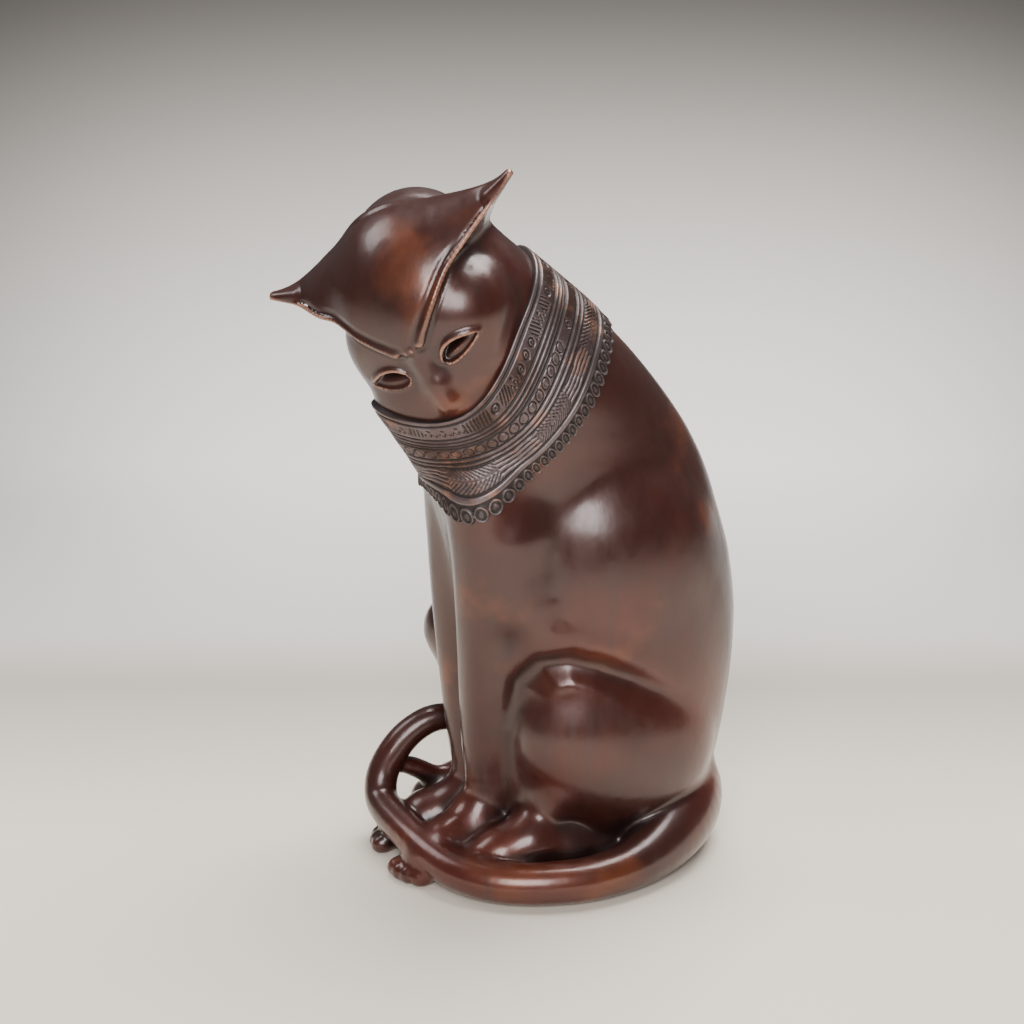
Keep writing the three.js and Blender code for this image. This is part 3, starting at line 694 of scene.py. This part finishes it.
def relief_tree():
    """Geometry Nodes that raise and cut the collar's registers from its attributes."""
    tree = bpy.data.node_groups.new("Collar relief", "GeometryNodeTree")
    face = tree.interface
    face.new_socket("Geometry", in_out="OUTPUT", socket_type="NodeSocketGeometry")
    face.new_socket("Geometry", in_out="INPUT", socket_type="NodeSocketGeometry")
    for name, value in RELIEF_INPUTS:
        socket = face.new_socket(name, in_out="INPUT", socket_type="NodeSocketFloat")
        socket.default_value = value
    face.new_socket("Material", in_out="INPUT", socket_type="NodeSocketMaterial")
    given = tree.nodes.new("NodeGroupInput")
    result = tree.nodes.new("NodeGroupOutput")

    def number(name):
        return Wire(tree, given.outputs[name])

    def stored(name, kind="FLOAT"):
        node = tree.nodes.new("GeometryNodeInputNamedAttribute")
        node.data_type = kind
        node.inputs["Name"].default_value = name
        return Wire(tree, node.outputs["Attribute"])

    around, down = stored("around"), stored("down")
    girth, width, on_top = stored("girth"), stored("width"), stored("on_top")
    plate, seed = number("Plate height"), number("Seed")

    def cell(count, name):
        """The position within a repeat in millimetres, and the repeat's number."""
        start, end = REGISTERS[name]
        place = around * count
        x = (place.math("FRACT") - 0.5) * girth / count
        y = (down - (start + end) / 2) * width
        return x, y, place.math("FLOOR")

    height = down * 0

    # Plain raised bands: the rim at the neck, the ribs and the welt
    for start, end in (REGISTERS["rim"], *REGISTERS["ribs"], *REGISTERS["broad_ribs"], REGISTERS["welt"]):
        height = height + plate * down.band(start, end, 0.008)

    # Marks: each cell has a ring round a dot, three slanted strokes, or a wave over a dot cut into the plate
    start, end = REGISTERS["marks"]
    x, y, index = cell(number("Marks"), "marks")
    kind, lean = index.chance(seed), index.chance(seed + 1)
    tall = 1 - y.math("ABSOLUTE").rise(3.0, 3.5)
    ring = length(x, y + (lean - 0.5)).groove(1.7, 0.6).larger(1 - length(x, y + (lean - 0.5)).rise(0.3, 0.8))
    strokes = ((x + y * (lean * 1.2 - 0.6)) / 1.7).math("PINGPONG", 0.5).groove(0.5, 0.32) * tall
    wave = (y - 1.1 + (x * 2.4).math("SINE") * 1.0).groove(0, 0.6).larger(1 - length(x, y + 1.9).rise(0.5, 0.9))
    mark = ring * (1 - kind.above(0.34)) + strokes * kind.above(0.34) * (1 - kind.above(0.62)) + wave * kind.above(0.62)
    height = height + (plate - mark * number("Cut depth")) * down.band(start, end, 0.01)

    # Rings with dotted middles at the front, lozenges and strokes towards the back
    start, end = REGISTERS["rings"]
    x, y, index = cell(number("Rings"), "rings")
    radius = length(x, y)
    ring = radius.groove(number("Ring radius"), number("Ring cut"))
    dots = (length((x * 1.1).math("PINGPONG", 0.5) - 0.25, (y * 1.1).math("PINGPONG", 0.5) - 0.25) * 2.2).groove(0, 0.5)
    dots = dots * (1 - radius.rise(1.2, 1.6)) * 0.35
    lozenge = (x.math("ABSOLUTE") * 1.2 + y.math("ABSOLUTE")).groove(2.4, 0.6).larger(1 - length(x, y).rise(0.4, 0.9))
    scroll = lozenge * index.chance(seed + 2).above(0.45) + strokes * (1 - index.chance(seed + 2).above(0.45))
    back = (around - 0.5).math("ABSOLUTE")
    at_front = back.rise(0.14, 0.15)
    cut = (ring.larger(dots)) * at_front + scroll * (1 - at_front)
    height = height + (plate - cut * number("Cut depth")) * down.band(start, end, 0.01)

    # Panels of fine lines along the band, with panels of feathered strokes between them
    start, end = REGISTERS["lines"]
    x, y, index = cell(number("Panels"), "lines")
    feathered = (index * 0.5).math("FRACT").above(0.25)
    wander = (x * 0.35).math("SINE") * 0.25
    strands = ((y + wander) / 2.1).math("FRACT")
    lines = (strands - 0.5).math("ABSOLUTE").rise(0.28, 0.42)
    feather = ((x * 0.75 + y.math("ABSOLUTE") * 0.9) / 1.5).math("FRACT")
    barbs = (feather - 0.5).math("ABSOLUTE").rise(0.2, 0.4) * y.math("ABSOLUTE").rise(0.5, 0.9)
    spine = y.groove(0, 0.7)
    cut = lines * (1 - feathered) + (barbs * 0.8).larger(spine * 0.5) * feathered
    height = height + (plate - cut * number("Cut depth")) * down.band(start, end, 0.01)

    # Drops: a raised loop round a raised seed, and a scalloped edge where the collar ends between them
    start, end = REGISTERS["drops"]
    x, y, index = cell(number("Drops"), "drops")
    half = girth / number("Drops") * 0.5
    tall = width * (end - start) * 0.5
    shape = length(x / half, y / tall + x * x * 0)
    loop = shape.groove(0.8, 0.2)
    seedling = 1 - shape.rise(0.32, 0.5)
    beyond = (y / tall).rise(-0.1, 0.1) * shape.rise(0.98, 1.04)
    drop = loop * 0.75 + seedling * 0.5
    height = height + (plate * drop - beyond * 3.4) * down.rise(start, start + 0.01)

    # Wear: the whole relief a little uneven, as in a worn casting
    noise = tree.nodes.new("ShaderNodeTexNoise")
    noise.inputs["Scale"].default_value = 260
    noise.inputs["Detail"].default_value = 2
    position = tree.nodes.new("GeometryNodeInputPosition")
    tree.links.new(position.outputs[0], noise.inputs["Vector"])
    uneven = (Wire(tree, noise.outputs["Fac"]) - 0.5) * 0.35
    height = (height + uneven) * on_top

    store = tree.nodes.new("GeometryNodeStoreNamedAttribute")
    store.inputs["Name"].default_value = "carved"
    tree.links.new(given.outputs["Geometry"], store.inputs["Geometry"])
    tree.links.new(height.socket, store.inputs["Value"])
    move = tree.nodes.new("GeometryNodeSetPosition")
    scale = tree.nodes.new("ShaderNodeVectorMath")
    scale.operation = "SCALE"
    tree.links.new(stored("out", "FLOAT_VECTOR").socket, scale.inputs[0])
    tree.links.new((height * MM).socket, scale.inputs["Scale"])
    tree.links.new(store.outputs["Geometry"], move.inputs["Geometry"])
    tree.links.new(scale.outputs[0], move.inputs["Offset"])
    real = tree.nodes.new("GeometryNodeRealizeInstances")
    tree.links.new(move.outputs["Geometry"], real.inputs["Geometry"])
    paint = tree.nodes.new("GeometryNodeSetMaterial")
    tree.links.new(real.outputs["Geometry"], paint.inputs["Geometry"])
    tree.links.new(given.outputs["Material"], paint.inputs["Material"])
    tree.links.new(paint.outputs["Geometry"], result.inputs["Geometry"])
    return tree


def carve_collar(piece, material):
    """Runs the relief's node tree on the collar and keeps its result as the piece's mesh."""
    tree = relief_tree()
    modifier = piece.modifiers.new("relief", "NODES")
    modifier.node_group = tree
    for item in tree.interface.items_tree:
        if item.item_type == "SOCKET" and item.in_out == "INPUT" and item.socket_type != "NodeSocketGeometry":
            modifier[item.identifier] = material if item.name == "Material" else dict(RELIEF_INPUTS)[item.name]
    graph = bpy.context.evaluated_depsgraph_get()
    carved = bpy.data.meshes.new_from_object(piece.evaluated_get(graph), preserve_all_data_layers=True, depsgraph=graph)
    piece.modifiers.remove(modifier)
    piece.data = carved
    carved.name = piece.name
    return piece


class Paint:
    """A shader tree with short ways to add its nodes."""

    def __init__(self, name):
        self.material = bpy.data.materials.new(name)
        self.material.use_nodes = True
        self.tree = self.material.node_tree
        self.surface = next(node for node in self.tree.nodes if node.type == "BSDF_PRINCIPLED")
        self.place = self.node("ShaderNodeTexCoord").outputs["Object"]

    def node(self, kind, **settings):
        node = self.tree.nodes.new(kind)
        for name, value in settings.items():
            setattr(node, name, value)
        return node

    def link(self, source, socket):
        self.tree.links.new(source.socket if isinstance(source, Wire) else source, socket)

    def stored(self, name, part="Fac"):
        return Wire(self.tree, self.node("ShaderNodeAttribute", attribute_name=name).outputs[part])

    def noise(self, scale, detail=3, stretch=(1, 1, 1), rough=0.5):
        """Noise in the object's space, with features of about 1 / scale metres."""
        mapping = self.node("ShaderNodeMapping")
        mapping.inputs["Scale"].default_value = stretch
        self.link(self.place, mapping.inputs["Vector"])
        noise = self.node("ShaderNodeTexNoise")
        noise.inputs["Scale"].default_value = scale
        noise.inputs["Detail"].default_value = detail
        noise.inputs["Roughness"].default_value = rough
        self.link(mapping.outputs[0], noise.inputs["Vector"])
        return Wire(self.tree, noise.outputs["Fac"])

    def mix(self, factor, first, second):
        """Colours first and second, by factor. Each is a colour socket or three numbers."""
        node = self.node("ShaderNodeMix", data_type="RGBA")
        self.link(factor, node.inputs["Factor"])
        for socket, colour in ((node.inputs["A"], first), (node.inputs["B"], second)):
            pass
        colours = [socket for socket in node.inputs if socket.type == "RGBA"]
        for socket, colour in zip(colours, (first, second)):
            if isinstance(colour, tuple):
                socket.default_value = (*colour, 1)
            else:
                self.link(colour, socket)
        return next(socket for socket in node.outputs if socket.type == "RGBA")


# Colours of the patina, of painted shade and of the collar's painted sheen, as linear red, green and blue
BROWN = (0.045, 0.011, 0.008)
RED = (0.085, 0.014, 0.008)
ORANGE = (0.2, 0.05, 0.015)
# Near-black: painted shade in the body's creases and hollows, and the dark patina in the collar's cuts
SHADE_AND_CUT_PATINA = (0.013, 0.006, 0.005)
GREY = (0.035, 0.02, 0.018)
COPPER = (0.42, 0.2, 0.13)
GOLD = (0.5, 0.2, 0.06)
# Lilac grey: a painted sheen on the collar's raised relief
SHEEN = (0.15, 0.115, 0.12)
DUST = (0.3, 0.25, 0.19)


def patina_and_painted_shade(paint):
    """The bronze's colour from broad clouds, brushed streaks and worn edges, with painted shade darkening its creases
    and hollows.
    """
    clouds = paint.noise(9, 3)
    spots = paint.noise(22, 4)
    streaks = paint.noise(60, 4, (1, 1, 0.12), 0.6)
    colour = paint.mix((clouds - 0.46) * 6, BROWN, RED)
    colour = paint.mix(((spots - 0.56) * 5).rise(0, 1) * 0.55, colour, ORANGE)
    colour = paint.mix((streaks - 0.5).rise(0.02, 0.22) * 0.45, colour, GREY)
    # Painted shade: the colour darkens towards near-black where the cat's own shape closes in on the skin and in broad
    # hollows, where shade falls
    occlusion = paint.stored("occlusion")
    hollow = (paint.stored("broad_bend") * -9).rise(0, 0.6)
    colour = paint.mix(occlusion.rise(0.35, 0.85).larger(hollow * 0.6) * 0.85, colour, SHADE_AND_CUT_PATINA)
    return colour


def bronze_material():
    paint = Paint("bronze")
    surface = paint.surface
    colour = patina_and_painted_shade(paint)
    grain = paint.noise(900, 2)
    edge = (paint.stored("fine_bend") + (grain - 0.5) * 0.05).rise(0.16, 0.5)
    colour = paint.mix(edge * 0.8, colour, COPPER)
    paint.link(colour, surface.inputs["Base Color"])
    surface.inputs["Metallic"].default_value = 0.35
    fine = paint.noise(140, 4, (1, 1, 0.35), 0.6)
    paint.link(0.36 + (fine - 0.5) * 0.3 + paint.stored("occlusion") * 0.15, surface.inputs["Roughness"])
    surface.inputs["Coat Weight"].default_value = 0.75
    paint.link(0.2 + (fine - 0.5) * 0.25, surface.inputs["Coat Roughness"])
    bump = paint.node("ShaderNodeBump")
    bump.inputs["Strength"].default_value = 0.25
    bump.inputs["Distance"].default_value = 0.0012
    paint.link(paint.noise(45, 3) + paint.noise(420, 3, (1, 1, 0.3)) * 0.12, bump.inputs["Height"])
    paint.link(bump.outputs[0], surface.inputs["Normal"])
    paint.link(bump.outputs[0], surface.inputs["Coat Normal"])
    return paint.material


def collar_material():
    """Near-black patina in the cuts, and a painted grey sheen over worn metal with copper edges on what stands proud.
    """
    paint = Paint("bronze collar")
    surface = paint.surface
    height = paint.stored("carved") + (paint.noise(700, 3) - 0.5) * 0.5
    proud = height.rise(0.25, 0.8)
    clouds = paint.noise(30, 3)
    # Painted sheen: the proud metal takes a lilac grey that stands in for light reflected off the raised relief
    metal = paint.mix((clouds - 0.45) * 5, SHEEN, (0.07, 0.038, 0.032))
    metal = paint.mix((paint.noise(55, 3) - 0.5).rise(0.05, 0.2) * 0.5, metal, COPPER)
    # Near-black patina in the cuts, lighter worn metal on what stands proud
    colour = paint.mix(proud, SHADE_AND_CUT_PATINA, metal)
    paint.link(colour, surface.inputs["Base Color"])
    paint.link(proud * 0.55 + 0.15, surface.inputs["Metallic"])
    paint.link(0.62 - proud * 0.24, surface.inputs["Roughness"])
    surface.inputs["Coat Weight"].default_value = 0.15
    surface.inputs["Coat Roughness"].default_value = 0.3
    return paint.material


# The camera at the photo's viewing angle, in degrees and millimetres
CAMERA = dict(azimuth=70, elevation=21, distance=1250, target=(-19, -15, 170), focal_per_width=2562.5 / 1024)
SENSOR = 36


def toward(azimuth, elevation):
    a, e = math.radians(azimuth), math.radians(elevation)
    return np.array([math.sin(a) * math.cos(e), -math.cos(a) * math.cos(e), math.sin(e)])


def facing(place, target):
    """The turn that makes -Z look from place to target with Y up."""
    return (Vector(target) - Vector(place)).to_track_quat("-Z", "Y").to_euler()


def add_camera():
    target = np.array(CAMERA["target"]) * MM
    place = target + toward(CAMERA["azimuth"], CAMERA["elevation"]) * CAMERA["distance"] * MM
    lens = bpy.data.cameras.new("camera")
    lens.sensor_width = SENSOR
    lens.lens = SENSOR * CAMERA["focal_per_width"]
    lens.clip_start = 0.05
    lens.clip_end = 60
    camera = bpy.data.objects.new("camera", lens)
    camera.location = place
    camera.rotation_euler = facing(place, target)
    bpy.context.scene.collection.objects.link(camera)
    bpy.context.scene.camera = camera


# Area lights: name, direction from the cat, distance and size in metres, power in watts, colour
LIGHTS = [
    ("key", 64, 30, 1.7, 0.8, 26, (1, 0.99, 0.98)),
    ("top", -140, 66, 1.5, 1.2, 52, (1, 0.985, 0.96)),
    ("left", -35, 42, 1.8, 0.7, 8, (1, 1, 1)),
]
WORLD_STRENGTH = 0.16


def add_lights():
    target = np.array((0, 0, 0.17))
    for name, azimuth, elevation, distance, size, power, colour in LIGHTS:
        lamp = bpy.data.lights.new(name, "AREA")
        lamp.size = size
        lamp.energy = power
        lamp.color = colour
        light = bpy.data.objects.new(name, lamp)
        light.location = target + toward(azimuth, elevation) * distance
        light.rotation_euler = facing(light.location, target)
        bpy.context.scene.collection.objects.link(light)
    world = bpy.data.worlds.new("studio")
    world.use_nodes = True
    world.node_tree.nodes["Background"].inputs["Color"].default_value = (0.9, 0.88, 0.86, 1)
    world.node_tree.nodes["Background"].inputs["Strength"].default_value = WORLD_STRENGTH
    bpy.context.scene.world = world


# The floor's tones along the view: distance behind the cat in metres, and a linear grey or cream. The cream floor turns
# into a grey backdrop, and the tones also paint light: brighter towards the camera, a painted shade band between floor
# and backdrop, a lighter patch behind the cat and darker far off.
FLOOR_HALF = 20.0
FLOOR_TONES = [
    (-0.6, (0.90, 0.82, 0.72)),
    (0.0, (0.80, 0.72, 0.62)),
    (0.18, (0.45, 0.41, 0.36)),
    (0.25, (0.62, 0.59, 0.555)),
    (0.55, (0.86, 0.83, 0.80)),
    (1.2, (0.74, 0.70, 0.66)),
    (3.0, (0.52, 0.48, 0.44)),
]
# Painted shade on the backdrop towards the sides of the view: it sets in from FADE_START to FADE_END metres behind the
# cat and takes away at most FADE_ASIDE of the brightness
FADE_START = 0.15
FADE_END = 0.5
FADE_ASIDE = 0.45


def floor_material():
    """A cream floor that turns into a grey backdrop, with painted light in its tones and painted shade towards the
    backdrop's sides, so it is lighter behind the cat than at the sides.
    """
    paint = Paint("floor")
    a, e = math.radians(CAMERA["azimuth"]), math.radians(CAMERA["elevation"])
    split = paint.node("ShaderNodeSeparateXYZ")
    paint.link(paint.place, split.inputs[0])
    x, y = Wire(paint.tree, split.outputs[0]), Wire(paint.tree, split.outputs[1])
    behind = x * -math.sin(a) + y * math.cos(a)
    aside = x * math.cos(a) + y * math.sin(a)
    spread = aside / (behind + CAMERA["distance"] * MM * math.cos(e)) / 0.2
    # Painted shade towards the sides of the backdrop
    painted_side_shade = 1 - (spread * spread).rise(0, 1.6) * behind.rise(FADE_START, FADE_END) * FADE_ASIDE
    ramp = paint.node("ShaderNodeValToRGB")
    near, far = FLOOR_TONES[0][0], FLOOR_TONES[-1][0]
    while len(ramp.color_ramp.elements) < len(FLOOR_TONES):
        ramp.color_ramp.elements.new(0.5)
    for element, (distance, tone) in zip(ramp.color_ramp.elements, FLOOR_TONES):
        element.position = (distance - near) / (far - near)
        element.color = (*tone, 1)
    paint.link((behind - near) / (far - near), ramp.inputs["Fac"])
    shaded = paint.mix(painted_side_shade, (0, 0, 0), ramp.outputs["Color"])
    paint.link(shaded, paint.surface.inputs["Base Color"])
    paint.surface.inputs["Roughness"].default_value = 0.85
    paint.surface.inputs["Specular IOR Level"].default_value = 0.2
    return paint.material


def add_floor():
    half = FLOOR_HALF
    mesh = bpy.data.meshes.new("floor")
    mesh.from_pydata([(-half, -half, 0), (half, -half, 0), (half, half, 0), (-half, half, 0)], [], [(0, 1, 2, 3)])
    mesh.materials.append(floor_material())
    floor = bpy.data.objects.new("floor", mesh)
    bpy.context.scene.collection.objects.link(floor)


def main():
    bronze, collar_bronze = bronze_material(), collar_material()
    body = cast_piece("body", body_field, BODY_CELL)
    head = cast_piece("head", head_field, HEAD_CELL)
    for piece in (body, head):
        piece.data.materials.append(bronze)
    collar = carve_collar(collar_piece(), collar_bronze)
    for piece in (body, head, collar):
        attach(piece, "root")
        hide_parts("cat")
        print(piece.name, len(piece.data.polygons))
    add_floor()
    add_camera()
    add_lights()


main()
